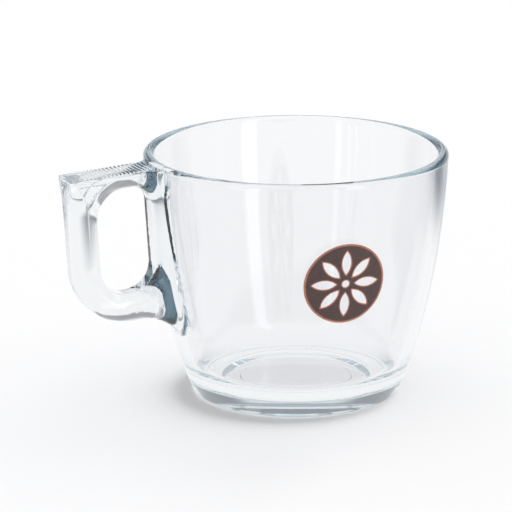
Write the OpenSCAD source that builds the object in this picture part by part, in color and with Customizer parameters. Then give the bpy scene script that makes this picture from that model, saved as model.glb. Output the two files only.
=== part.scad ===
// Pressed glass coffee cup with a looped handle, a ribbed thumb rest and a printed rosette.
// The cup stands on the XY plane with its axis on Z. The handle points along -X and the
// printed rosette is on the -Y side.

/* [Bowl] */
// Height from the table to the top of the lip
cup_h = 68.5; // [60:0.5:80]
// Outer diameter at the rim
rim_d = 84; // [78:0.5:96]
// Outer diameter of the resting ring
foot_d = 56; // [52:0.5:60]
// Radius of the rounded heel between the resting ring and the wall
heel_r = 1.2; // [0.8:0.1:2.5]
// Lean of the wall at the heel, in degrees from upright
heel_lean = 23; // [16:0.5:28]
// Lean of the wall at the rim, in degrees from upright
rim_lean = 2; // [1:0.5:8]
// How far the wall holds its lean above the heel
belly_pull = 26.5; // [18:0.5:30]
// How far the wall holds its lean below the rim
rim_pull = 8; // [4:0.5:20]
// Thickness of the wall at the rim
wall_t = 3; // [2.4:0.1:3.6]
// Thickness of the wall above the heel
low_wall_t = 3.4; // [3:0.1:4.2]
// Thickness of the glass floor above the table
floor_t = 4.2; // [3.6:0.1:5.5]
// Height at which the inside wall turns into the floor
turn_h = 11; // [9:0.5:15]

/* [Foot] */
// Width of the ring that the cup rests on
foot_ring_w = 6.4; // [4:0.1:8]
// Depth of the hollow under the floor
hollow_h = 0.8; // [0.5:0.1:1.6]
// Width of the slope between the resting ring and the hollow
hollow_slope_w = 3; // [1:0.1:4]
// Diameter of the raised disc in the middle of the hollow
disc_d = 31; // [24:0.5:34]
// How far that disc stands down from the hollow
disc_h = 0.3; // [0.1:0.1:0.4]

/* [Handle] */
// Width of the handle across the cup
handle_w = 11; // [9:0.5:13]
// Thickness of the outer and lower arms of the loop
arm_t = 7.8; // [7.4:0.1:9]
// Clear width of the finger hole
hole_w = 15.6; // [14:0.2:20]
// Clear height of the finger hole
hole_h = 29.8; // [26:0.2:33]
// Tilt of the whole loop: its thumb rest falls outwards and its outer arm leans by this, in degrees
handle_tilt = 3.2; // [0:0.2:6]
// Radius of the finger hole at its outer top corner
hole_top_r = 8.4; // [7:0.1:9]
// Radius of the finger hole at its elbow
hole_elbow_r = 7.9; // [7:0.1:8.5]
// Radius of the finger hole where the thumb rest meets the bowl
root_top_r = 5.6; // [4:0.1:6.5]
// Radius of the finger hole where the lower arm meets the bowl
root_low_r = 7.4; // [5:0.1:7.6]
// Rounding of the loop's outer edges
arm_edge_r = 3.9; // [3:0.1:3.9]
// Rounding of the edges around the finger hole
hole_edge_r = 3.4; // [2.4:0.1:3.4]
// Height by which the loop's spine stands out of the wall beside the finger hole
spine_t = 2.4; // [1.8:0.1:3]
// Radius of the hollow under the lower arm
tail_r = 12; // [9:0.5:13]
// How deep the end of that hollow runs into the wall
tail_sink = 0.3; // [0.1:0.1:0.6]

/* [Thumb rest] */
// Depth of the thumb rest below the top of the lip, at the wall
rest_drop = 0.9; // [0.6:0.1:2]
// Thickness of the thumb rest
rest_t = 4.2; // [3.6:0.1:5]
// Rounding of the thumb rest's outer corners
rest_corner_r = 1.6; // [0.8:0.1:2.4]
// Height of the square corner block above the round arm
corner_h = 7; // [5:0.5:9]
// Number of grip ribs
rib_count = 18; // [8:1:20]
// Distance from rib to rib
rib_pitch = 1.1; // [1:0.05:1.3]
// Radius of each rib
rib_r = 0.45; // [0.3:0.05:0.5]
// How far each rib stands above the thumb rest
rib_h = 0.3; // [0.15:0.05:0.35]
// Margin beside the ribs
rib_margin = 0.8; // [0.5:0.1:2]
// Distance from the wall to the first rib
rib_gap = 1.4; // [1:0.1:3]

/* [Print] */
// Height of the rosette's centre above the table
print_z = 40.5; // [26:0.5:48]
// Turn of the print about the cup's axis, towards the handle, in degrees
print_turn = 3.5; // [0:0.5:30]
// Diameter of the dark field
field_d = 21.5; // [20:0.5:24]
// Width of the copper line round the field
rim_line_w = 0.5; // [0.3:0.05:0.8]
// Width of the copper lines round the petals and the centre
petal_line_w = 0.3; // [0.2:0.02:0.4]
// Thickness of the fired enamel
print_t = 0.15; // [0.1:0.01:0.3]
// Number of petals
petal_count = 8; // [5:1:9]
// Length of a petal
petal_len = 6.6; // [4:0.1:7]
// Width of a petal
petal_w = 2.5; // [1.6:0.1:2.8]
// Distance from the rosette's centre to the middle of a petal
petal_r = 5.9; // [5.4:0.1:6.3]
// Diameter of the clear dot at the centre
dot_d = 2; // [1:0.1:2.4]

/* [Hidden] */
overrun = 5;
grid = 0.01;
true_round = 96;
hull_round = 32;
wall_steps = 24;
turn_steps = 10;
halvings = 24;
heel_steps = 8;
lip_steps = 16;
glass_tint = [0.86, 0.9, 0.92, 0.45];
field_brown = [0.3, 0.2, 0.19];
line_copper = [0.72, 0.45, 0.34];

rim_r = rim_d / 2;
lip_r = wall_t / 2;
foot_r = foot_d / 2;

function curve_at(c, s) = pow(1 - s, 3) * c[0] + 3 * pow(1 - s, 2) * s * c[1]
    + 3 * (1 - s) * s * s * c[2] + pow(s, 3) * c[3];
function curve_slope(c, s) = pow(1 - s, 2) * (c[1] - c[0])
    + 2 * (1 - s) * s * (c[2] - c[1]) + s * s * (c[3] - c[2]);
function inward(v) = [-v[1], v[0]] / norm(v);
function arc(centre, r, from, to, steps) =
    [for (i = [0 : steps]) let (a = from + (to - from) * i / steps) centre + r * [cos(a), sin(a)]];

// The heel leaves the table flat and ends in the lean of the wall. The lip is a half round.
heel = arc([foot_r, heel_r], heel_r, -90, -heel_lean, heel_steps);
lip = arc([rim_r - lip_r, cup_h - lip_r], lip_r, -rim_lean, 180 - rim_lean, lip_steps);

// Outer wall: one cubic curve from the heel up to the lip
wall_curve = [
    heel[heel_steps],
    heel[heel_steps] + belly_pull * [sin(heel_lean), cos(heel_lean)],
    lip[0] - rim_pull * [sin(rim_lean), cos(rim_lean)],
    lip[0]
];

// Wall points moved in from the outer face by a depth that runs from low to high
function wall_points(low, high, from = 0) =
    [for (i = [0 : wall_steps]) let (s = from + (1 - from) * i / wall_steps)
        curve_at(wall_curve, s) + (low + (high - low) * s) * inward(curve_slope(wall_curve, s))];

// Outer radius of the wall at a height, read along the same curve
outside_wall = wall_points(0, 0);
wall_table = [for (p = outside_wall) [p[1], p[0]]];
function wall_r(z) = lookup(z, wall_table);

// The share of the wall curve at which its inside reaches a height
function turn_share(z, low = 0, high = 1, tries = halvings) =
    tries == 0 ? low :
    let (mid = (low + high) / 2, p = curve_at(wall_curve, mid)
        + (low_wall_t + (wall_t - low_wall_t) * mid) * inward(curve_slope(wall_curve, mid)))
    p[1] < z ? turn_share(z, mid, high, tries - 1) : turn_share(z, low, mid, tries - 1);

// Inside: the wall curve, then one arc that runs out flat on the floor
turn_s = turn_share(turn_h);
inside_wall = wall_points(low_wall_t, wall_t, turn_s);
turn_dir = curve_slope(wall_curve, turn_s);
turn_lean = atan2(turn_dir[0], turn_dir[1]);
turn_r = (inside_wall[0][1] - floor_t) / (1 - sin(turn_lean));
turn_centre = inside_wall[0] + turn_r * inward(turn_dir);

outside = concat(heel, [for (i = [1 : wall_steps - 1]) outside_wall[i]], lip);
inside = concat(
    [for (i = [wall_steps - 1 : -1 : 1]) inside_wall[i]],
    arc(turn_centre, turn_r, -turn_lean, -90, turn_steps)
);

// The handle is drawn with x pointing out of the bowl and z up from the point where the top
// of the thumb rest meets the wall. Its points are [x, z], rounded so that its pieces meet exactly.
function snap(x) = round(x / grid) * grid;
rest_root = [rim_r, cup_h - rest_drop];

// The x of a point on the tilted handle that lies at a given depth and outer radius
function tilted_x(r, depth) = snap((r - rest_root[0] + depth * sin(handle_tilt)) / cos(handle_tilt));
function height_at(depth) = rest_root[1] - depth * cos(handle_tilt);

// Sides of the finger hole
hole_top = -rest_t;
hole_floor = hole_top - hole_h;
hole_mid = rest_t + hole_h / 2;
hole_in = tilted_x(wall_r(height_at(hole_mid)) + spine_t, hole_mid);
hole_out = hole_in + hole_w;
arm_face = hole_out + arm_t;

// Centres of the finger hole's corners
elbow = [hole_out - hole_elbow_r, hole_floor + hole_elbow_r];
top_corner = [hole_out - hole_top_r, hole_top - hole_top_r];
root_top = [hole_in + root_top_r, hole_top - root_top_r];
root_low = [hole_in + root_low_r, hole_floor + root_low_r];

// Where the loop's sides are flat, between its two rounded edges
flat_t = arm_t - arm_edge_r - hole_edge_r;
flat_mid = hole_edge_r + flat_t / 2;

// Hollow under the lower arm: it touches the arm's underside and runs into the wall
tail_depth = rest_t + hole_h + arm_t + tail_r;
tail_touch_r = wall_r(height_at(tail_depth) + tail_r * sin(heel_lean));
tail = [tilted_x(tail_touch_r + tail_r * cos(heel_lean) - tail_sink, tail_depth), -tail_depth];
in_wall = tail[0] - tail_r - wall_t;

// Half of the loop's section, from its rounded face at x = 0 to a depth t
module half_section(edge_r, t) {
    side = handle_w / 2 - edge_r;
    translate([edge_r, -handle_w / 2]) square([t - edge_r, handle_w]);
    translate([0, -side]) square([edge_r, 2 * side]);
    intersection() {
        translate([0, -handle_w / 2]) square([edge_r, handle_w]);
        for (y = [-side, side])
            translate([edge_r, y]) circle(r = edge_r, $fn = true_round);
    }
}

// The half that faces the finger hole, and the half that faces outwards from r
module hole_half() {
    half_section(hole_edge_r, hole_edge_r + flat_t);
}

module outer_half() {
    translate([arm_t, 0]) mirror([1, 0]) half_section(arm_edge_r, arm_edge_r + flat_t);
}

// Turns a shape that lies in X and Y upright at p, so that its x points along a quarter turn
module at(p, turn) {
    translate([p[0], 0, p[1]]) rotate([0, -turn, 0]) children();
}

// A section swept round a corner at a distance from its centre
module bend(centre, r, from, turn = 90) {
    at(centre, from) rotate([90, 0, 0]) rotate_extrude(angle = turn, $fn = true_round)
        translate([r, 0]) children();
}

// A section run straight on, at a distance from a line that starts at a corner's centre
module run(centre, r, from, length) {
    at(centre, from) translate([r, 0, 0]) linear_extrude(length) children();
}

// The rounded edge all the way round the finger hole
module hole_edge() {
    run(elbow, hole_elbow_r, 0, top_corner[1] - elbow[1]) hole_half();
    bend(top_corner, hole_top_r, 0) hole_half();
    run(top_corner, hole_top_r, 90, top_corner[0] - root_top[0]) hole_half();
    bend(root_top, root_top_r, 90) hole_half();
    run(root_top, root_top_r, 180, root_top[1] - root_low[1]) hole_half();
    bend(root_low, root_low_r, 180) hole_half();
    run(root_low, root_low_r, 270, elbow[0] - root_low[0]) hole_half();
    bend(elbow, hole_elbow_r, 270) hole_half();
}

// The outer rounded edge, from the tail's point up to the corner block
module outer_edge() {
    bend(tail, tail_r, 90, 90 - heel_lean) half_section(arm_edge_r, arm_edge_r + flat_t);
    run([tail[0], elbow[1]], hole_elbow_r, 270, elbow[0] - tail[0]) outer_half();
    bend(elbow, hole_elbow_r, 270) outer_half();
    run(elbow, hole_elbow_r, 0, -corner_h - elbow[1]) outer_half();
}

// The finger hole's outline, set back by a distance
module hole_outline(grow) {
    translate([root_low[0], hole_floor - grow]) square([elbow[0] - root_low[0], hole_h + 2 * grow]);
    translate([hole_in - grow, root_low[1]])
        square([hole_w + 2 * grow, top_corner[1] - root_low[1]]);
    translate([root_top[0], root_low[1]])
        square([top_corner[0] - root_top[0], hole_top + grow - root_low[1]]);
    translate([hole_in - grow, root_low[1]])
        square([top_corner[0] - hole_in, root_top[1] - root_low[1]]);
    translate([hole_out - hole_elbow_r, elbow[1]])
        square([hole_elbow_r + grow, top_corner[1] - elbow[1]]);
    translate(elbow) circle(r = hole_elbow_r + grow, $fn = true_round);
    translate(top_corner) circle(r = hole_top_r + grow, $fn = true_round);
    translate(root_top) circle(r = root_top_r + grow, $fn = true_round);
    translate(root_low) circle(r = root_low_r + grow, $fn = true_round);
}

// Flat-sided glass between the finger hole, the thumb rest, the wall and the tail
module flat_web() {
    rotate([90, 0, 0]) linear_extrude(handle_w, center = true) difference() {
        polygon([
            [-lip_r, 0],
            [arm_face - rest_corner_r, 0],
            [hole_out + flat_mid, -corner_h],
            [hole_out + flat_mid, top_corner[1]],
            top_corner,
            elbow,
            [elbow[0], hole_floor - flat_mid],
            [tail[0], hole_floor - flat_mid],
            tail,
            [in_wall, tail[1]],
            [in_wall, root_top[1]],
            [-lip_r, hole_top]
        ]);
        hole_outline(hole_edge_r);
        translate(tail) circle(r = tail_r + arm_edge_r, $fn = true_round);
    }
}

// Square outer end of the thumb rest, drawn down onto the rounded arm
module corner_block() {
    edge_t = rest_t - hole_edge_r;
    hull() {
        for (y = [-1, 1])
            translate([arm_face - rest_corner_r, y * (handle_w / 2 - rest_corner_r), -edge_t])
                cylinder(h = edge_t, r = rest_corner_r, $fn = hull_round);
        translate([hole_out, -handle_w / 2, -edge_t]) cube([flat_mid, handle_w, edge_t]);
        translate([hole_out, 0, -corner_h]) linear_extrude(edge_t) outer_half($fn = hull_round);
    }
}

// Grip ribs across the thumb rest
module ribs() {
    for (i = [0 : rib_count - 1])
        translate([rib_gap + i * rib_pitch, 0, rib_h - rib_r]) rotate([90, 0, 0])
            cylinder(h = handle_w - 2 * rib_margin, r = rib_r, center = true, $fn = true_round);
}

// The bowl's outside, filled up to its lip
module bowl_space() {
    rotate_extrude($fn = true_round) polygon(concat([[0, 0]], outside, [[0, lip[lip_steps][1]]]));
}

// Hollow under the floor, with the disc that stands down in its middle
module foot_hollow() {
    hollow_r = foot_r - foot_ring_w;
    rotate_extrude($fn = true_round) polygon([
        [0, -overrun],
        [hollow_r, -overrun],
        [hollow_r, 0],
        [hollow_r - hollow_slope_w, hollow_h],
        [disc_d / 2 + disc_h, hollow_h],
        [disc_d / 2, hollow_h - disc_h],
        [0, hollow_h - disc_h]
    ]);
}

module bowl() {
    color(glass_tint) difference() {
        rotate_extrude($fn = true_round) polygon(concat([[0, 0]], outside, inside, [[0, floor_t]]));
        foot_hollow();
    }
}

module handle() {
    color(glass_tint) mirror([1, 0, 0]) difference() {
        translate([rest_root[0], 0, rest_root[1]]) rotate([0, handle_tilt, 0]) {
            hole_edge();
            outer_edge();
            flat_web();
            corner_block();
            ribs();
        }
        bowl_space();
    }
}

// Skin of enamel on the wall, as high as the print
skin_reach = field_d / 2 + 2 * rim_line_w;
skin_steps = [for (i = [1 : wall_steps - 1])
    if (wall_table[i + 1][0] > print_z - skin_reach && wall_table[i - 1][0] < print_z + skin_reach) i];
skin_inner = [for (i = skin_steps) outside_wall[i]];
skin_outer = [for (i = skin_steps) wall_points(-print_t, -print_t)[i]];

module enamel() {
    intersection() {
        rotate_extrude($fn = true_round) polygon(concat(
            skin_inner,
            [for (i = [len(skin_outer) - 1 : -1 : 0]) skin_outer[i]]
        ));
        rotate([0, 0, -print_turn]) translate([0, 0, print_z]) rotate([90, 0, 0])
            linear_extrude(rim_r + overrun) children();
    }
}

// A pointed petal, bounded by two arcs
petal_arc_r = (pow(petal_len / 2, 2) + pow(petal_w / 2, 2)) / petal_w;

module petal(grow) {
    intersection_for (side = [-1, 1])
        translate([side * (petal_arc_r - petal_w / 2), 0])
            circle(r = petal_arc_r + grow, $fn = true_round);
}

module rosette(grow) {
    circle(d = dot_d + 2 * grow, $fn = true_round);
    for (i = [0 : petal_count - 1])
        rotate(360 / petal_count * i) translate([0, petal_r]) petal(grow);
}

module print_field() {
    color(field_brown) enamel() difference() {
        circle(d = field_d, $fn = true_round);
        rosette(petal_line_w);
    }
}

module print_outline() {
    color(line_copper) enamel() {
        difference() {
            circle(d = field_d + 2 * rim_line_w, $fn = true_round);
            circle(d = field_d, $fn = true_round);
        }
        difference() {
            rosette(petal_line_w);
            rosette(0);
        }
    }
}

bowl();
handle();
print_field();
print_outline();
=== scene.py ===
"""Pressed glass cortado cup: its finished looks, modelled around the packed part."""
import math

import bmesh
import bpy
from bpy.props import FloatProperty, FloatVectorProperty, IntProperty, PointerProperty
from mathutils import Matrix, Vector, geometry


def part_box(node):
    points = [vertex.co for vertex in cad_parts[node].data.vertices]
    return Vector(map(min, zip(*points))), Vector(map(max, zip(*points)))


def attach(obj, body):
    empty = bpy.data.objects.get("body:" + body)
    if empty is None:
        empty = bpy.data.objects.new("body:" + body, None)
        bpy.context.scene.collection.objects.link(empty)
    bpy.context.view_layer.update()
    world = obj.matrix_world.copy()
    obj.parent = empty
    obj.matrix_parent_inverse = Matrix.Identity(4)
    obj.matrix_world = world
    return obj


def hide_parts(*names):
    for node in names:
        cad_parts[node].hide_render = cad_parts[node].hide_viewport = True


bl_info = {
    "name": "Cortado Glass",
    "version": (1, 0, 0),
    "blender": (4, 5, 0),
    "location": "3D View > Sidebar > Cortado",
    "description": "Models a pressed glass coffee cup with a looped handle and its printed rosette",
    "category": "Object",
}

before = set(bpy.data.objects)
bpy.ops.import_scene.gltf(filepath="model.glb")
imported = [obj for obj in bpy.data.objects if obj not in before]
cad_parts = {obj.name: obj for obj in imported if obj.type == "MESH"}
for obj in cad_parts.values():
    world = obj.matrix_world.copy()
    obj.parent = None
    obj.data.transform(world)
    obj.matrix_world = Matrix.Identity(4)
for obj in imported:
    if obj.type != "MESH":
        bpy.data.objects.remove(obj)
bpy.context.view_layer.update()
BOWL_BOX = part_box("bowl")
HANDLE_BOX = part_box("handle")
BODY = "root"
MM = 0.001
MICRON = 0.001 * MM
PHOTO_SIDE_PX = 512
GLASS_IOR = 1.52
# Light turns back and forth in the thick glass many times before it leaves
GLASS_BOUNCES = 256
SHADOW_LAYERS = 32


def srgb(code):
    """A colour written as sRGB hex, such as 6f8590, as linear RGB."""
    shares = [int(code[i:i + 2], 16) / 255 for i in (0, 2, 4)]
    return [s / 12.92 if s <= 0.04045 else ((s + 0.055) / 1.055) ** 2.4 for s in shares]


def length(name, description, millimetres):
    """A size that the sidebar shows in the scene's unit, with its default in millimetres."""
    return FloatProperty(name=name, description=description, default=millimetres * MM, unit="LENGTH", precision=5)


def angle(name, description, degrees):
    """An angle that the sidebar shows in degrees."""
    return FloatProperty(name=name, description=description, default=math.radians(degrees), unit="ROTATION")


def colour(name, description, code):
    """A colour swatch with its default as sRGB hex."""
    return FloatVectorProperty(
        name=name, description=description, default=srgb(code), subtype="COLOR", size=3, min=0, max=1)


class BowlSizes(bpy.types.PropertyGroup):
    """Sizes of the bowl."""
    height: length("Height", "From the table to the top of the lip", BOWL_BOX[1].z / MM)
    rim_radius: length("Rim radius", "Outer radius at the rim", BOWL_BOX[1].x / MM)
    foot_radius: length("Foot radius", "Outer radius of the resting ring", 28)
    heel_radius: length("Heel rounding", "Radius of the rounded heel", 1.2)
    heel_lean: angle("Heel lean", "Lean of the wall at the heel", 23)
    rim_lean: angle("Rim lean", "Lean of the wall at the rim", 2)
    belly_pull: length("Belly pull", "How far the wall holds its lean above the heel", 26.5)
    rim_pull: length("Rim pull", "How far the wall holds its lean below the rim", 8)
    rim_wall: length("Wall at the rim", "Thickness of the glass at the rim", 3)
    heel_wall: length("Wall at the heel", "Thickness of the glass above the heel", 3.4)
    floor: length("Floor", "Height of the inside floor above the table", 4.2)
    turn: length("Turn height", "Height at which the inside wall turns into the floor", 11)
    hollow_radius: length("Hollow radius", "Radius of the hollow under the floor", 21.6)
    hollow_depth: length("Hollow depth", "Depth of the hollow under the floor", 0.8)
    hollow_slope: length("Hollow slope", "Width of the slope beside the resting ring", 3)
    disc_radius: length("Disc radius", "Radius of the raised disc in the hollow", 15.5)
    disc_height: length("Disc height", "How far that disc stands down", 0.3)
    foot_edge: length("Foot edges", "Fire-polished rounding of the edges under the foot", 0.2)
    print_seat: length("Print seat", "How far the wall reaches into the enamel, so that no air shows behind it", 0.03)


class HandleSizes(bpy.types.PropertyGroup):
    """Sizes of the looped handle."""
    width: length("Width", "Width of the handle across the cup", (HANDLE_BOX[1].y - HANDLE_BOX[0].y) / MM)
    arm: length("Arm", "Thickness of the outer and lower arms", 7.8)
    hole_width: length("Hole width", "Clear width of the finger hole", 15.6)
    hole_height: length("Hole height", "Clear height of the finger hole", 29.8)
    tilt: angle("Tilt", "How far the whole loop leans", 3.2)
    top_radius: length("Top corner", "Radius of the hole at its outer top corner", 8.4)
    elbow_radius: length("Elbow", "Radius of the hole at its elbow", 7.9)
    root_top_radius: length("Upper root", "Radius of the hole under the lip", 5.6)
    root_low_radius: length("Lower root", "Radius of the hole above the tail", 7.4)
    arm_edge: length("Outer rounding", "Rounding of the loop's outer edges", 3.9)
    hole_edge: length("Inner rounding", "Rounding of the edges around the hole", 3.4)
    spine: length("Spine", "Height by which the loop stands out of the wall beside the hole", 2.4)
    tail_radius: length("Tail", "Radius of the hollow under the lower arm", 12)
    tail_sink: length("Tail sink", "How deep the end of that hollow runs into the wall", 0.3)
    rest_drop: length("Rest drop", "Depth of the thumb rest below the lip", 0.9)
    rest: length("Thumb rest", "Thickness of the thumb rest", 4.2)
    rest_corner: length("Rest corners", "Rounding of the thumb rest's outer corners", 1.6)
    rest_edge: length("Rest edges", "Fire-polished rounding of the thumb rest's edges", 0.5)
    corner_height: length("Corner block", "Height over which the square corner becomes round", 7)
    facet_depth: length("Facet depth", "Depth of the hollowed corners on the loop's sides", 0.7)
    facet_slope: length("Facet slope", "Width of the slopes around those hollows", 0.8)
    facet_margin: length("Facet margin", "From the top of the loop to the hollows", 1.2)
    facet_lip: length("Facet lip", "From the rounded outer corner to the hollows", 0.3)
    facet_clear: length("Facet clearance", "How far the cutting solids stand out of the sides", 0.1)
    facet_low_turn: angle("Facet low turn", "Turn around the hole's top corner at which the hollows start", 8)
    facet_deep_turn: angle("Facet deep turn", "The same for the flat bottoms of the hollows", 30)
    groove: length("Groove", "How far the groove runs down the arm below the hole's corner", 13)
    embed: length("Embedding", "How deep the blank of the loop reaches into the wall before it is cut back", 6)
    fillet: length("Root fillet", "Radius of the glass that runs from the loop onto the wall", 5)
    fillet_cell: length("Fillet cell", "Size of the cells that carry the fillet's curve", 0.35)
    fillet_sink: length("Fillet sink", "How deep that fillet ends in the wall", 0.12)
    rib_count: IntProperty(name="Ribs", description="Number of grip ribs", default=18, min=1)
    rib_pitch: length("Rib pitch", "Distance from rib to rib", 1.1)
    rib_radius: length("Rib radius", "Radius of each rib", 0.45)
    rib_height: length("Rib height", "How far each rib stands up", 0.3)
    rib_margin: length("Rib margin", "Margin beside the ribs", 0.8)
    rib_gap: length("Rib gap", "Distance from the wall to the first rib", 1.4)


# Rows of faces along curves, and the steps around the bowl
WALL_STEPS = 64
LATHE_STEPS = 192
LIP_STEPS = 16
HEEL_STEPS = 12
TURN_STEPS = 20
EDGE_STEPS = 5
ROUNDING_STEPS = 14
RIB_SEGMENTS = 24
SHARP_ANGLE = 32


def arc(centre, radius, start, end, steps):
    """Points on an arc, from one angle in degrees to another, both ends included."""
    angles = [math.radians(start + (end - start) * i / steps) for i in range(steps + 1)]
    return [centre + radius * Vector((math.cos(a), math.sin(a))) for a in angles]


def line(start, end, steps):
    """Points on a straight line, both ends included."""
    return [start.lerp(end, i / steps) for i in range(steps + 1)]


def rounded(points, radius, steps=EDGE_STEPS):
    """The same open outline with each inner corner replaced by an arc."""
    out = [points[0]]
    for before, corner, after in zip(points, points[1:], points[2:]):
        back, on = (before - corner).normalized(), (after - corner).normalized()
        half = back.angle(on) / 2
        reach = radius / math.tan(half)
        centre = corner + (back + on).normalized() * (radius / math.sin(half))
        first, last = corner + back * reach - centre, corner + on * reach - centre
        turn = first.angle_signed(last)
        for i in range(steps + 1):
            spoke = first.copy()
            spoke.rotate(Matrix.Rotation(-turn * i / steps, 2))
            out.append(centre + spoke)
    return out + [points[-1]]


def wall_normals(points):
    """Unit vectors square to an outline, pointing to its left."""
    ends = [points[0]] + points + [points[-1]]
    along = [(b - a).normalized() for a, b in zip(ends, ends[2:])]
    return [Vector((-a.y, a.x)) for a in along]


def heel_arc(s):
    """The rounded heel, from the resting ring up to the wall."""
    return arc(Vector((s.foot_radius, s.heel_radius)), s.heel_radius, -90, -math.degrees(s.heel_lean), HEEL_STEPS)


def lip_arc(s):
    """The round lip, from the outer wall over to the inside."""
    half = s.rim_wall / 2
    lean = math.degrees(s.rim_lean)
    return arc(Vector((s.rim_radius - half, s.height - half)), half, -lean, 180 - lean, LIP_STEPS)


def outer_wall(s):
    """Outer wall from the heel up to the lip: one cubic curve."""
    heel, lip = heel_arc(s)[-1], lip_arc(s)[0]
    low = heel + s.belly_pull * Vector((math.sin(s.heel_lean), math.cos(s.heel_lean)))
    high = lip - s.rim_pull * Vector((math.sin(s.rim_lean), math.cos(s.rim_lean)))
    return [Vector(p[:2]) for p in geometry.interpolate_bezier(heel, low, high, lip, WALL_STEPS + 1)]


def seated(wall, inward, seat):
    """The wall set out a little into the enamel, fading to nothing at the heel and the lip."""
    count = len(wall) - 1
    return [p - n * seat * math.sin(math.pi * i / count) ** 0.5 for i, (p, n) in enumerate(zip(wall, inward))]


def bowl_profile(s):
    """The bowl's whole section, from the middle of its underside round the lip to the middle of its floor."""
    wall = outer_wall(s)
    inward = wall_normals(wall)
    heel = heel_arc(s)
    foot = rounded([
        Vector((0, s.hollow_depth - s.disc_height)),
        Vector((s.disc_radius, s.hollow_depth - s.disc_height)),
        Vector((s.disc_radius + s.disc_height, s.hollow_depth)),
        Vector((s.hollow_radius - s.hollow_slope, s.hollow_depth)),
        Vector((s.hollow_radius, 0)),
        heel[0],
    ], s.foot_edge)
    depths = [s.heel_wall + (s.rim_wall - s.heel_wall) * i / WALL_STEPS for i in range(WALL_STEPS + 1)]
    inside = [p + n * d for p, n, d in zip(wall, inward, depths)]
    above = [i for i, p in enumerate(inside) if p.y > s.turn]
    start, normal = inside[above[0]], inward[above[0]]
    lean = math.atan2(-normal.y, -normal.x)
    turn_radius = (start.y - s.floor) / (1 - math.sin(-lean))
    turn_centre = start + turn_radius * normal
    turn = arc(turn_centre, turn_radius, math.degrees(lean), -90, TURN_STEPS)
    back = [inside[i] for i in reversed(above)][1:]
    outside = seated(wall, inward, s.print_seat)
    return foot[:-1] + heel[:-1] + outside[:-1] + lip_arc(s) + back[:-1] + turn + [Vector((0, s.floor))]


def lathe(profile):
    """A mesh turned about Z from a section drawn as (radius, height) points."""
    bm = bmesh.new()
    verts = [bm.verts.new((p.x, 0, p.y)) for p in profile]
    edges = [bm.edges.new(pair) for pair in zip(verts, verts[1:])]
    bmesh.ops.spin(
        bm, geom=verts + edges, cent=(0, 0, 0), axis=(0, 0, 1), angle=math.tau, steps=LATHE_STEPS, use_merge=True)
    bmesh.ops.remove_doubles(bm, verts=bm.verts, dist=MICRON)
    bmesh.ops.recalc_face_normals(bm, faces=bm.faces)
    return bm


def make_object(bm, name):
    """A linked object that holds the mesh."""
    mesh = bpy.data.meshes.new(name)
    bm.to_mesh(mesh)
    bm.free()
    made = bpy.data.objects.new(name, mesh)
    bpy.context.scene.collection.objects.link(made)
    return made


def apply_modifiers(made):
    """Gives the object its mesh as its modifiers leave it."""
    bpy.context.view_layer.update()
    shaped = bpy.data.meshes.new_from_object(made.evaluated_get(bpy.context.evaluated_depsgraph_get()))
    made.modifiers.clear()
    old, made.data = made.data, shaped
    bpy.data.meshes.remove(old)


class Wall:
    """The outer wall of the bowl, as the handle meets it."""

    def __init__(self, profile):
        top = max(range(len(profile)), key=lambda i: profile[i].y)
        self.points = [p for p in profile[:top + 1] if p.y > 0]

    def radius(self, height):
        """Outer radius at a height."""
        for low, high in zip(self.points, self.points[1:]):
            if low.y <= height <= high.y:
                return low.x + (high.x - low.x) * (height - low.y) / (high.y - low.y)
        return self.points[-1].x if height > self.points[-1].y else self.points[0].x


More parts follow.
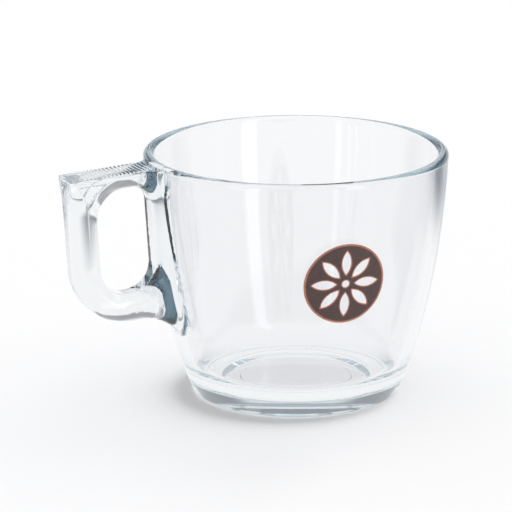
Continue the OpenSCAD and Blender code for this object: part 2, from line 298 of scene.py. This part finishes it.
def handle_outlines(h, bowl, wall):
    """The finger hole and the loop's outer edge, point for point, and the rounding of each outer edge.

    Both are drawn with x out of the bowl and y up, from where the thumb rest meets the wall."""
    root = Vector((bowl.rim_radius, bowl.height - h.rest_drop))
    slope, rise = math.sin(h.tilt), math.cos(h.tilt)

    def wall_x(depth, out=0.0):
        return (wall.radius(root.y - depth * rise) + out - root.x + depth * slope) / rise

    hole_top = -h.rest
    hole_floor = hole_top - h.hole_height
    hole_in = wall_x(h.rest + h.hole_height / 2, h.spine)
    hole_out = hole_in + h.hole_width
    face = hole_out + h.arm
    elbow = Vector((hole_out - h.elbow_radius, hole_floor + h.elbow_radius))
    top = Vector((hole_out - h.top_radius, hole_top - h.top_radius))
    root_top = Vector((hole_in + h.root_top_radius, hole_top - h.root_top_radius))
    root_low = Vector((hole_in + h.root_low_radius, hole_floor + h.root_low_radius))
    tail_depth = h.rest + h.hole_height + h.arm + h.tail_radius
    lean = bowl.heel_lean
    touch = wall.radius(root.y - tail_depth * rise + h.tail_radius * math.sin(lean))
    tail_out = touch + h.tail_radius * math.cos(lean) - h.tail_sink
    tail = Vector(((tail_out - root.x + tail_depth * slope) / rise, -tail_depth))
    tail_end = 180 - math.degrees(lean - h.tilt)
    tip = arc(tail, h.tail_radius, tail_end, tail_end, 1)[0]

    def in_wall(start, end, steps):
        depths = [start + (end - start) * i / steps for i in range(steps + 1)]
        return [Vector((wall_x(d, -h.embed), -d)) for d in depths]

    hole = []
    outer = []
    radii = []

    def stretch(hole_points, outer_points, edge_radii):
        hole.extend(hole_points[:-1])
        outer.extend(outer_points[:-1])
        radii.extend(edge_radii)

    arm_steps, corner_steps, root_steps = 12, 16, 12
    stretch(
        line(Vector((hole_out, elbow.y)), Vector((hole_out, top.y)), arm_steps),
        line(Vector((face, elbow.y)), Vector((face, top.y)), arm_steps),
        [h.arm_edge] * arm_steps,
    )
    rise_points = line(Vector((face, top.y)), Vector((face, 0)), corner_steps)
    squared = [h.arm_edge + (h.rest_corner - h.arm_edge) * max(0, 1 + (a.y + b.y) / 2 / h.corner_height)
               for a, b in zip(rise_points, rise_points[1:])]
    stretch(
        arc(top, h.top_radius, 0, 90, 2 * corner_steps),
        rise_points[:-1] + line(Vector((face, 0)), Vector((top.x, 0)), corner_steps),
        squared + [h.rest_edge] * corner_steps,
    )
    stretch(
        line(Vector((top.x, hole_top)), Vector((root_top.x, hole_top)), 2),
        line(Vector((top.x, 0)), Vector((root_top.x, 0)), 2),
        [h.rest_edge] * 2,
    )
    back = Vector((wall_x(0, -h.embed), 0))
    stretch(
        arc(root_top, h.root_top_radius, 90, 180, 2 * root_steps),
        line(Vector((root_top.x, 0)), back, root_steps)[:-1]
        + [back] + in_wall(0, -root_top.y, root_steps)[1:],
        [h.rest_edge] * root_steps + [0] * root_steps,
    )
    spine_steps = 24
    stretch(
        line(Vector((hole_in, root_top.y)), Vector((hole_in, root_low.y)), spine_steps),
        in_wall(-root_top.y, -root_low.y, spine_steps),
        [0] * spine_steps,
    )
    into_wall = line(in_wall(-tip.y, -tip.y, 1)[0], tip, root_steps // 2)
    stretch(
        arc(root_low, h.root_low_radius, 180, 270, 3 * root_steps + root_steps // 2),
        in_wall(-root_low.y, -tip.y, root_steps)[:-1] + into_wall[:-1]
        + arc(tail, h.tail_radius, tail_end, 90, 2 * root_steps),
        [0] * root_steps + [h.arm_edge] * (root_steps // 2 + 2 * root_steps),
    )
    stretch(
        line(Vector((root_low.x, hole_floor)), Vector((elbow.x, hole_floor)), 1),
        line(Vector((tail.x, hole_floor - h.arm)), Vector((elbow.x, hole_floor - h.arm)), 1),
        [h.arm_edge],
    )
    stretch(
        arc(elbow, h.elbow_radius, 270, 360, 2 * root_steps),
        arc(elbow, h.elbow_radius + h.arm, 270, 360, 2 * root_steps),
        [h.arm_edge] * (2 * root_steps),
    )
    return hole, outer, radii


def handle_blank(h, hole, outer, radii):
    """The loop as a flat plate with square edges, each marked with its own rounding."""
    bm = bmesh.new()
    place = bm.verts.layers.int.new("place")
    rounding = bm.edges.layers.float.new("bevel_weight_edge")
    for points, sign in ((hole, 1), (outer, -1)):
        verts = [bm.verts.new((p.x, -h.width / 2, p.y)) for p in points]
        for i, vert in enumerate(verts):
            vert[place] = sign * (i + 1)
            bm.edges.new((vert, verts[i - 1]))
    bmesh.ops.bridge_loops(bm, edges=bm.edges[:])
    grown = bmesh.ops.extrude_face_region(bm, geom=bm.faces[:], use_keep_orig=True)
    moved = [g for g in grown["geom"] if isinstance(g, bmesh.types.BMVert)]
    bmesh.ops.translate(bm, verts=moved, vec=(0, h.width, 0))
    bmesh.ops.recalc_face_normals(bm, faces=bm.faces)
    widest = max(h.arm_edge, h.hole_edge)
    count = len(outer)
    corner = max(range(count), key=lambda i: outer[i].x + outer[i].y)
    for edge in bm.edges:
        a, b = (v[place] for v in edge.verts)
        across = abs(edge.verts[0].co.y - edge.verts[1].co.y) > MICRON
        if a > 0 and b > 0 and not across:
            edge[rounding] = h.hole_edge / widest
        elif a < 0 and b < 0 and not across:
            first = min(-a, -b) - 1 if abs(a - b) == 1 else count - 1
            edge[rounding] = radii[first] / widest
        elif a == b == -(corner + 1):
            edge[rounding] = h.rest_edge / widest
    made = make_object(bm, "handle_blank")
    bevel = made.modifiers.new("rounding", "BEVEL")
    bevel.limit_method = "WEIGHT"
    bevel.width = widest
    bevel.segments = ROUNDING_STEPS
    bevel.use_clamp_overlap = False
    bevel.loop_slide = False
    apply_modifiers(made)
    return made


def facet_cutter(h, hole, outer):
    """Solids that cut a shallow hollow into each side of the corner block, with a groove down the arm."""
    top = Vector((max(p.x for p in hole) - h.top_radius, -h.rest - h.top_radius))
    face = max(p.x for p in outer)
    reach = h.top_radius + h.hole_edge
    slope = h.facet_slope

    def border(inset, low):
        level = -h.facet_margin - inset
        radius = reach + inset
        high = math.degrees(math.asin((level - top.y) / radius))
        bend = arc(top, radius, math.degrees(low), high, ROUNDING_STEPS)
        return Vector((face - h.rest_corner - h.facet_lip - inset, level)), bend

    corner, bend = border(0, h.facet_low_turn)
    deep_corner, deep_bend = border(slope, h.facet_deep_turn)
    side = Vector((face - h.arm_edge, -h.corner_height))
    end = Vector((top.x + reach, top.y - h.groove))
    tip = deep_bend[0] + Vector((slope / 2, 0))
    bm = bmesh.new()
    for sign in (1, -1):
        rims = [[bm.verts.new((p.x, sign * (h.width / 2 + out), p.y)) for p in points] for points, out in (
            ([corner, side, end] + bend, h.facet_clear), ([deep_corner, tip, tip] + deep_bend, -h.facet_depth))]
        for rim in rims:
            bm.faces.new(rim)
        for i in range(len(rims[0])):
            bm.faces.new((rims[0][i - 1], rims[0][i], rims[1][i], rims[1][i - 1]))
    bmesh.ops.remove_doubles(bm, verts=bm.verts, dist=MICRON)
    bmesh.ops.recalc_face_normals(bm, faces=bm.faces)
    return make_object(bm, "facet_cutter")


def place_handle(made, h, bowl):
    """Turns the loop upright at the wall, tilts it and sets it against the bowl."""
    root = Vector((-bowl.rim_radius, 0, bowl.height - h.rest_drop))
    turn = Matrix.Rotation(-h.tilt, 4, "Y") @ Matrix.Rotation(math.pi, 4, "Z")
    made.data.transform(Matrix.Translation(root) @ turn)


def add_root_fillets(made, h, bowl, wall):
    """Spreads the loop's sides where they near the wall, along a quarter of a circle."""
    bm = bmesh.new()
    bm.from_mesh(made.data)

    def clearance(point):
        return math.hypot(point.x, point.y) - wall.radius(point.z)

    side = h.width / 2 - MICRON
    middle = bowl.height - h.rest_drop - h.rest - h.hole_height / 2
    for front in (True, False):
        for above in (True, False):
            flat = [f for f in bm.faces
                    if all((v.co.y < -side) if front else (v.co.y > side) for v in f.verts)
                    and (f.calc_center_median().z > middle) == above]
            bmesh.ops.dissolve_faces(bm, faces=flat)
    near = [v.co.copy() for v in bm.verts if clearance(v.co) < h.fillet + h.fillet_cell]
    edge = min(p.x for p in near)
    for axis, cell in ((0, h.fillet_cell), (2, 2 * h.fillet_cell)):
        places = [p[axis] for p in near]
        square = Vector((axis == 0, 0, axis == 2))
        for i in range(1, int((max(places) - min(places)) / cell) + 1):
            inner = [f for f in bm.faces if any(v.co.x > edge for v in f.verts)]
            around = {e for f in inner for e in f.edges} | {v for f in inner for v in f.verts}
            bmesh.ops.bisect_plane(
                bm, geom=inner + list(around), dist=MICRON / 10,
                plane_co=(min(places) + i * cell) * square, plane_no=square)
    for vert in bm.verts:
        gap = max(clearance(vert.co) + h.fillet_sink, 0)
        if gap >= h.fillet:
            continue
        spread = h.fillet - math.sqrt(h.fillet ** 2 - (h.fillet - gap) ** 2)
        turn = spread / wall.radius(vert.co.z) * vert.co.y / (h.width / 2)
        vert.co.rotate(Matrix.Rotation(turn if vert.co.x > 0 else -turn, 3, "Z"))
    bmesh.ops.recalc_face_normals(bm, faces=bm.faces)
    bm.to_mesh(made.data)
    bm.free()


def wall_core(bowl, wall):
    """A solid that fills the bowl out to the middle of its wall."""
    middle = bowl.rim_wall / 2
    rows = [Vector((p.x - middle, p.y)) for p in wall.points if p.x > bowl.foot_radius and p.y < bowl.height - middle]
    high = Vector((rows[-1].x, bowl.height + middle))
    core = lathe([Vector((0, rows[0].y))] + rows + [high, Vector((0, high.y))])
    return make_object(core, "wall_core")


def boolean(base, other, operation):
    """Joins another solid to this one, or takes it away, and deletes the other."""
    step = base.modifiers.new(operation.lower(), "BOOLEAN")
    step.operation = operation
    step.solver = "MANIFOLD"
    step.object = other
    apply_modifiers(base)
    mesh = other.data
    bpy.data.objects.remove(other)
    bpy.data.meshes.remove(mesh)


def rib_rods(h):
    """The grip ribs as rods that lie across the thumb rest, most of each below its top."""
    bm = bmesh.new()
    for i in range(h.rib_count):
        place = Matrix.Translation((h.rib_gap + i * h.rib_pitch, 0, h.rib_height - h.rib_radius))
        bmesh.ops.create_cone(
            bm, cap_ends=True, segments=RIB_SEGMENTS, radius1=h.rib_radius, radius2=h.rib_radius,
            depth=h.width - 2 * h.rib_margin, matrix=place @ Matrix.Rotation(math.pi / 2, 4, "X"))
    return make_object(bm, "rib_rods")


def finish_glass(made):
    """Shades the joined skin's curves smooth and its edges sharp."""
    made.data.shade_smooth()
    made.data.set_sharp_from_angle(angle=math.radians(SHARP_ANGLE))
    shine = made.modifiers.new("even_shine", "WEIGHTED_NORMAL")
    shine.keep_sharp = True
    apply_modifiers(made)


def add_node(tree, kind, inputs=None, **settings):
    """Adds a node, with its settings, and its inputs either set or linked from another node's output."""
    made = tree.nodes.new("ShaderNode" + kind)
    for name, value in settings.items():
        setattr(made, name, value)
    for name, value in (inputs or {}).items():
        socket = next(s for i, s in enumerate(made.inputs) if s.enabled and name in (i, s.name))
        if isinstance(value, bpy.types.NodeSocket):
            tree.links.new(value, socket)
        else:
            socket.default_value = value
    return made


def result(made):
    """The output that a Mix node uses."""
    return next(s for s in made.outputs if s.enabled)


def new_material(name):
    """An empty node material, its tree and its output."""
    material = bpy.data.materials.new(name)
    material.use_nodes = True
    tree = material.node_tree
    tree.nodes.clear()
    return material, tree, add_node(tree, "OutputMaterial")


def opaque(rgb):
    """A colour with full alpha, as the colour sockets want it."""
    return (*rgb, 1)


def pressed_soda_lime_glass(looks):
    """Soda-lime glass, pressed and fire-polished: clear and bright, blue-grey where the light runs far in it.

    Rays from lamps pass the thin wall and are mostly stopped by the steep sides of the thick foot."""
    material, tree, output = new_material("pressed_soda_lime_glass")
    glass = add_node(tree, "BsdfPrincipled", {
        "Base Color": opaque(looks.glass_face), "Roughness": 0.0, "IOR": GLASS_IOR, "Transmission Weight": 1.0})
    place = add_node(tree, "TexCoord")
    height = add_node(tree, "SeparateXYZ", {0: place.outputs["Object"]}).outputs["Z"]
    tip = add_node(tree, "SeparateXYZ", {0: place.outputs["Normal"]}).outputs["Z"]
    level = add_node(tree, "Math", {0: tip, 1: tip}, operation="MULTIPLY")
    low = add_node(tree, "MapRange", {
        "Value": height, "From Min": looks.shade_top, "From Max": looks.shade_top / 2, "To Max": looks.foot_shade},
        interpolation_type="SMOOTHSTEP")
    steep = add_node(tree, "Math", {0: 1.0, 1: level.outputs[0]}, operation="SUBTRACT")
    stopped = add_node(tree, "Math", {0: low.outputs[0], 1: steep.outputs[0]}, operation="MULTIPLY")
    shade = add_node(tree, "Mix", {"Factor": stopped.outputs[0], "A": opaque(looks.shadow), "B": (0, 0, 0, 1)},
                     data_type="RGBA")
    passed = add_node(tree, "BsdfTransparent", {"Color": result(shade)})
    ray = add_node(tree, "LightPath")
    surface = add_node(tree, "MixShader", {
        0: ray.outputs["Is Shadow Ray"], 1: glass.outputs[0], 2: passed.outputs[0]})
    depth = add_node(tree, "VolumeAbsorption", {"Color": opaque(looks.glass_tint), "Density": looks.glass_density})
    tree.links.new(surface.outputs[0], output.inputs["Surface"])
    tree.links.new(depth.outputs[0], output.inputs["Volume"])
    return material


# Patterns of the enamel. The mottle has the width of the thicker patches that a screen leaves. The grain is
# far coarser than the ground enamel's 0.01 mm, so that it shows.
ENAMEL_MOTTLE = 1.6 * MM
ENAMEL_GRAIN = 0.25 * MM
ENAMEL_RELIEF = 0.02 * MM
ENAMEL_IOR = 1.5


def fired_enamel(name, rgb, roughness):
    """Ceramic enamel, screen-printed and fired on: satin, with faint mottles of thicker and thinner colour."""
    material, tree, output = new_material(name)
    place = add_node(tree, "TexCoord")
    mottle = add_node(tree, "TexNoise", {
        "Vector": place.outputs["Object"], "Scale": 1 / ENAMEL_MOTTLE, "Detail": 4.0, "Roughness": 0.6})
    shade = add_node(tree, "MapRange", {
        "Value": mottle.outputs["Fac"], "From Min": 0.3, "From Max": 0.7, "To Min": 0.82, "To Max": 1.2})
    tone = add_node(tree, "Mix", {"Factor": 1.0, "A": opaque(rgb), "B": shade.outputs[0]}, data_type="RGBA",
                    blend_type="MULTIPLY")
    grain = add_node(tree, "TexNoise", {
        "Vector": place.outputs["Object"], "Scale": 1 / ENAMEL_GRAIN, "Detail": 2.0})
    relief = add_node(tree, "Bump", {"Height": grain.outputs["Fac"], "Distance": ENAMEL_RELIEF, "Strength": 0.5})
    gloss = add_node(tree, "MapRange", {
        "Value": mottle.outputs["Fac"], "From Min": 0.3, "From Max": 0.7,
        "To Min": roughness * 0.85, "To Max": roughness * 1.15})
    paint = add_node(tree, "BsdfPrincipled", {
        "Base Color": result(tone), "Roughness": gloss.outputs[0], "IOR": ENAMEL_IOR,
        "Normal": relief.outputs[0]})
    tree.links.new(paint.outputs[0], output.inputs["Surface"])
    return material


class Looks(bpy.types.PropertyGroup):
    """Colours of the cup."""
    glass_face: colour("Glass face", "Tint of the light that passes a face of the glass", "fafafb")
    glass_tint: colour("Glass tint", "Colour that the glass takes on in its depth", "abc8d3")
    glass_density: FloatProperty(
        name="Glass density", description="How quickly the glass takes on that colour, per metre", default=10, min=0)
    shadow: colour("Shadow", "Light of lamps that a face of the thin wall lets through", "ffffff")
    foot_shade: FloatProperty(name="Foot shade", description="Share of that light that the foot's sides stop",
                              default=0.95, min=0, max=1)
    shade_top: length("Foot shade height", "Height above the table up to which the foot stops light", 7)
    field: colour("Field", "Enamel of the print's field", "4f3a38")
    outline: colour("Outline", "Enamel of the print's fine lines", "b8745a")


class Stage(bpy.types.PropertyGroup):
    """Camera, floor and light."""
    distance: length("Camera distance", "From the camera to the middle of the cup", 800)
    height: length("Target height", "Height that the camera looks at", 34.375)
    azimuth: angle("Azimuth", "Turn of the camera about the cup", -23)
    elevation: angle("Elevation", "Rise of the camera above the table", 15.95)
    focal_px: FloatProperty(name="Focal length", description="Focal length in picture pixels", default=2877.35)
    target_x_px: FloatProperty(name="Target X", description="Picture column of the target", default=295.92)
    target_y_px: FloatProperty(name="Target Y", description="Picture row of the target", default=267.46)
    floor_half: length("Floor", "Half the side of the floor", 20000)
    floor_colour: colour("Floor colour", "Colour of the floor", "f0f0f1")
    floor_glow: FloatProperty(name="Floor glow", description="Share of the floor that glows white in the glass",
                              default=0.92, min=0, max=1)
    white_to: angle("White horizon", "Height up to which the surround is white", 7)
    dim_from: angle("Band foot", "Height from which the surround is grey", 11)
    dim_to: angle("Band top", "Height up to which the surround is grey", 20)
    white_from: angle("White ceiling", "Height from which the surround is white again", 32)
    band: colour("Band", "Colour of the grey band", "a2a2a4")
    # The six sizes below, called cloths in the sidebar, place a painted dark reflection: a grey glowing patch on the
    # floor behind the cup at each side. Only the glass shows it.
    cloth: colour("Cloth", "Colour of the dark cloths", "8a8f96")
    dark_patch_from: length("Cloth inner edge", "From the middle to the dark cloths behind the cup at both sides", 60)
    dark_patch_to: length("Cloth outer edge", "From the middle to the cloths' outer edges", 700)
    dark_patch_front: length("Cloth front", "From the middle back to the cloths' front edges", 75)
    dark_patch_back: length("Cloth back", "From the middle back to the cloths' back edges", 260)
    dark_patch_fade: length("Cloth fade", "Width of the cloths' soft edges", 85)
    window_turn: angle("Window turn", "Turn of each window from the camera", 41.7)
    window_distance: length("Window distance", "From the cup to the window", 280)
    window_width: length("Window width", "Width of the window", 65)
    window_height: length("Window height", "Height of the window above the table", 400)
    window_brightness: FloatProperty(name="Window brightness", description="Times as bright as white", default=1.6)
    left_brightness: FloatProperty(name="Left window brightness", description="The same for the window on the left",
                                   default=0.9)
    daylight: FloatProperty(name="Daylight", description="Strength of the even light on the floor and the print",
                            default=0.685, min=0)
    glass_gain: FloatProperty(name="Glass gain", description="Extra share of the daylight that comes through glass",
                              default=0.15, min=0)
    sun_turn: angle("Side light turn", "Turn of the side light from the camera", 132)
    sun_height: angle("Side light height", "Height of the side light", 35)
    sun_spread: angle("Side light spread", "Apparent size of the side light", 50)
    sunlight: FloatProperty(name="Side light", description="Strength of the side light", default=0.46, min=0)


class CORTADO_OT_glass(bpy.types.Operator):
    """Models the bowl and its handle as one pressed piece of glass."""
    bl_idname = "cortado.glass"
    bl_label = "Pressed glass"

    def execute(self, context):
        bowl_sizes, handle_sizes = context.scene.cortado_bowl, context.scene.cortado_handle
        profile = bowl_profile(bowl_sizes)
        wall = Wall(profile)
        glass = make_object(lathe(profile), "pressed_glass")
        hole, outer, radii = handle_outlines(handle_sizes, bowl_sizes, wall)
        loop = handle_blank(handle_sizes, hole, outer, radii)
        facets = facet_cutter(handle_sizes, hole, outer)
        ribs = rib_rods(handle_sizes)
        for piece in (loop, facets, ribs):
            place_handle(piece, handle_sizes, bowl_sizes)
        add_root_fillets(loop, handle_sizes, bowl_sizes, wall)
        boolean(loop, wall_core(bowl_sizes, wall), "DIFFERENCE")
        boolean(loop, facets, "DIFFERENCE")
        boolean(glass, loop, "UNION")
        boolean(glass, ribs, "UNION")
        finish_glass(glass)
        glass.data.materials.clear()
        glass.data.materials.append(pressed_soda_lime_glass(context.scene.cortado_looks))
        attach(glass, BODY)
        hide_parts("bowl", "handle")
        return {"FINISHED"}


class CORTADO_OT_print(bpy.types.Operator):
    """Finishes the printed rosette in two fired enamels."""
    bl_idname = "cortado.print"
    bl_label = "Enamel print"

    def execute(self, context):
        looks = context.scene.cortado_looks
        for node, rgb, roughness in (("print_field", looks.field, 0.42), ("print_outline", looks.outline, 0.36)):
            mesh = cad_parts[node].data
            mesh.materials.clear()
            mesh.materials.append(fired_enamel(node + "_fired_enamel", rgb, roughness))
        return {"FINISHED"}


class CORTADO_OT_stage(bpy.types.Operator):
    """Sets up the camera, the floor and the light."""
    bl_idname = "cortado.stage"
    bl_label = "Stage"

    def execute(self, context):
        scene, stage = context.scene, context.scene.cortado_stage
        add_camera(scene, stage)
        add_floor(stage)
        add_world(scene, stage)
        add_window(scene, stage, "right_window", stage.window_turn, stage.window_brightness)
        add_window(scene, stage, "left_window", -stage.window_turn, stage.left_brightness)
        add_side_light(scene, stage)
        scene.view_settings.view_transform = "Standard"
        scene.cycles.max_bounces = GLASS_BOUNCES
        scene.cycles.transmission_bounces = GLASS_BOUNCES
        scene.cycles.glossy_bounces = GLASS_BOUNCES
        scene.cycles.transparent_max_bounces = SHADOW_LAYERS
        scene.cycles.use_denoising = True
        return {"FINISHED"}


def add_camera(scene, stage):
    """The photograph's camera: a long lens that looks down on the cup."""
    camera = bpy.data.objects.new("camera", bpy.data.cameras.new("camera"))
    scene.collection.objects.link(camera)
    level = stage.distance * math.cos(stage.elevation)
    target = Vector((0, 0, stage.height))
    camera.location = target + Vector((
        level * math.sin(stage.azimuth), -level * math.cos(stage.azimuth), stage.distance * math.sin(stage.elevation)))
    camera.rotation_euler = (target - camera.location).to_track_quat("-Z", "Y").to_euler()
    camera.data.lens = stage.focal_px / PHOTO_SIDE_PX * camera.data.sensor_width
    camera.data.shift_x = (PHOTO_SIDE_PX / 2 - stage.target_x_px) / PHOTO_SIDE_PX
    camera.data.shift_y = (stage.target_y_px - PHOTO_SIDE_PX / 2) / PHOTO_SIDE_PX
    camera.data.clip_start = 0.01
    camera.data.clip_end = 1000
    scene.camera = camera


def along(tree, place, turn):
    """How far a point lies out in a level direction, given as its turn from +X."""
    return add_node(tree, "VectorMath", {0: place, 1: (math.cos(turn), math.sin(turn), 0)},
                    operation="DOT_PRODUCT").outputs["Value"]


def between(tree, value, first, full, last, end):
    """One from full to last, fading to nothing at first and end."""
    rise, fall = (add_node(tree, "MapRange", {"Value": value, "From Min": low, "From Max": high},
                           interpolation_type="SMOOTHSTEP").outputs[0] for low, high in ((first, full), (last, end)))
    return add_node(tree, "Math", {0: rise, 1: fall}, operation="SUBTRACT").outputs[0]


def seen_in_glass(tree):
    """One for the rays by which the camera sees a thing through the glass or mirrored in it."""
    ray = add_node(tree, "LightPath")
    bent = add_node(tree, "Math", {0: ray.outputs["Is Glossy Ray"], 1: ray.outputs["Is Transmission Ray"]},
                    operation="MAXIMUM")
    return add_node(tree, "Math", {0: bent.outputs[0], 1: ray.outputs["Diffuse Depth"]},
                    operation="SUBTRACT", use_clamp=True).outputs[0]


def add_floor(stage):
    """A plain pale floor that keeps the cup's shadow. The glass shows it brighter, with a painted dark reflection at
    each side: a grey patch that only the glass shows.
    """
    bm = bmesh.new()
    bmesh.ops.create_grid(bm, x_segments=1, y_segments=1, size=stage.floor_half)
    floor = make_object(bm, "floor")
    material, tree, output = new_material("matt_paper_floor")
    paper = add_node(tree, "BsdfDiffuse", {"Color": opaque(stage.floor_colour)})
    glow = add_node(tree, "Emission", {"Color": (1, 1, 1, 1), "Strength": 1.0})
    seen = seen_in_glass(tree)
    share = add_node(tree, "Math", {0: seen, 1: stage.floor_glow}, operation="MULTIPLY")
    bright = add_node(tree, "MixShader", {0: share.outputs[0], 1: paper.outputs[0], 2: glow.outputs[0]})
    # Painted dark reflection: a grey glowing patch behind the cup at each side, mixed in only for rays through or off
    # the glass
    cloth = add_node(tree, "Emission", {"Color": opaque(stage.cloth), "Strength": 1.0})
    place = add_node(tree, "TexCoord").outputs["Object"]
    aside = add_node(tree, "Math", {0: along(tree, place, stage.azimuth)}, operation="ABSOLUTE").outputs[0]
    behind = along(tree, place, stage.azimuth + math.radians(90))
    fade = stage.dark_patch_fade
    dark_patch_share = seen
    for reach, low, high in ((aside, stage.dark_patch_from, stage.dark_patch_to), (behind, stage.dark_patch_front, stage.dark_patch_back)):
        lies = between(tree, reach, low, low + fade, high - fade, high)
        dark_patch_share = add_node(tree, "Math", {0: dark_patch_share, 1: lies}, operation="MULTIPLY").outputs[0]
    both = add_node(tree, "MixShader", {0: dark_patch_share, 1: bright.outputs[0], 2: cloth.outputs[0]})
    tree.links.new(both.outputs[0], output.inputs["Surface"])
    floor.data.materials.append(material)


def add_world(scene, stage):
    """White all round as the camera sees it. The glass also shows a grey band above the horizon."""
    world = bpy.data.worlds.new("studio")
    world.use_nodes = True
    scene.world = world
    tree = world.node_tree
    tree.nodes.clear()
    rise = add_node(tree, "SeparateXYZ", {0: add_node(tree, "TexCoord").outputs["Generated"]}).outputs["Z"]
    seen = seen_in_glass(tree)
    band = between(tree, rise, *(math.sin(height) for height in (
        stage.white_to, stage.dim_from, stage.dim_to, stage.white_from)))
    shown = add_node(tree, "Math", {0: band, 1: seen}, operation="MULTIPLY")
    tone = add_node(tree, "Mix", {"Factor": shown.outputs[0], "A": (1, 1, 1, 1), "B": opaque(stage.band)},
                    data_type="RGBA")
    ray = add_node(tree, "LightPath")
    spread = add_node(tree, "Math", {0: ray.outputs["Is Transmission Ray"], 1: stage.daylight * stage.glass_gain,
                                     2: stage.daylight}, operation="MULTIPLY_ADD")
    white = add_node(tree, "Math", {0: seen, 1: ray.outputs["Is Camera Ray"]}, operation="MAXIMUM")
    strength = add_node(tree, "Mix", {"Factor": white.outputs[0], "A": spread.outputs[0], "B": 1.0},
                        data_type="FLOAT")
    light = add_node(tree, "Background", {"Color": result(tone), "Strength": result(strength)})
    add_node(tree, "OutputWorld", {"Surface": light.outputs[0]})
    world.cycles.sampling_method = "NONE"


def add_window(scene, stage, name, turn, brightness):
    """A tall window to one side of the camera, which draws a long highlight and leaves the floor alone."""
    middle = Vector((0, 0, stage.window_height / 2))
    turned = stage.azimuth + turn
    stand = Vector((math.sin(turned), -math.cos(turned), 0)) * stage.window_distance
    lamp = bpy.data.objects.new(name, bpy.data.lights.new(name, "AREA"))
    scene.collection.objects.link(lamp)
    lamp.data.shape = "RECTANGLE"
    lamp.data.size, lamp.data.size_y = stage.window_width, stage.window_height
    lamp.data.energy = brightness * math.pi * stage.window_width * stage.window_height
    lamp.location = stand + middle
    lamp.rotation_euler = (-stand).to_track_quat("-Z", "Y").to_euler()
    lamp.visible_camera = False
    lamp.visible_diffuse = False


def add_side_light(scene, stage):
    """A broad soft light from the side, which draws out the shadow and isn't mirrored in the glass."""
    lamp = bpy.data.objects.new("side_light", bpy.data.lights.new("side_light", "SUN"))
    scene.collection.objects.link(lamp)
    lamp.data.angle = stage.sun_spread
    lamp.data.energy = stage.sunlight * math.pi / math.sin(stage.sun_height)
    turned = stage.azimuth + stage.sun_turn
    level = math.cos(stage.sun_height)
    toward = Vector((math.sin(turned) * level, -math.cos(turned) * level, math.sin(stage.sun_height)))
    lamp.rotation_euler = toward.to_track_quat("Z", "Y").to_euler()
    lamp.visible_glossy = False
    lamp.visible_transmission = False


class CORTADO_PT_panel(bpy.types.Panel):
    """Sizes, colours and steps of the cup."""
    bl_idname = "CORTADO_PT_panel"
    bl_label = "Cortado glass"
    bl_space_type = "VIEW_3D"
    bl_region_type = "UI"
    bl_category = "Cortado"

    def draw(self, context):
        for group in GROUPS:
            box = self.layout.box()
            box.label(text=group.__doc__)
            for name in group.__annotations__:
                box.prop(getattr(context.scene, GROUPS[group]), name)
        for operator in OPERATORS:
            self.layout.operator(operator.bl_idname)


GROUPS = {
    BowlSizes: "cortado_bowl",
    HandleSizes: "cortado_handle",
    Looks: "cortado_looks",
    Stage: "cortado_stage",
}
OPERATORS = (CORTADO_OT_glass, CORTADO_OT_print, CORTADO_OT_stage)


def register():
    """Registers the sizes, the steps and the panel."""
    for cls in (*GROUPS, *OPERATORS, CORTADO_PT_panel):
        bpy.utils.register_class(cls)
    for group, name in GROUPS.items():
        setattr(bpy.types.Scene, name, PointerProperty(type=group))


def unregister():
    """Takes them away again."""
    for name in GROUPS.values():
        delattr(bpy.types.Scene, name)
    for cls in reversed((*GROUPS, *OPERATORS, CORTADO_PT_panel)):
        bpy.utils.unregister_class(cls)


def main():
    """Builds the cup and its stage."""
    register()
    bpy.ops.cortado.glass()
    bpy.ops.cortado.print()
    bpy.ops.cortado.stage()


if __name__ == "__main__":
    main()
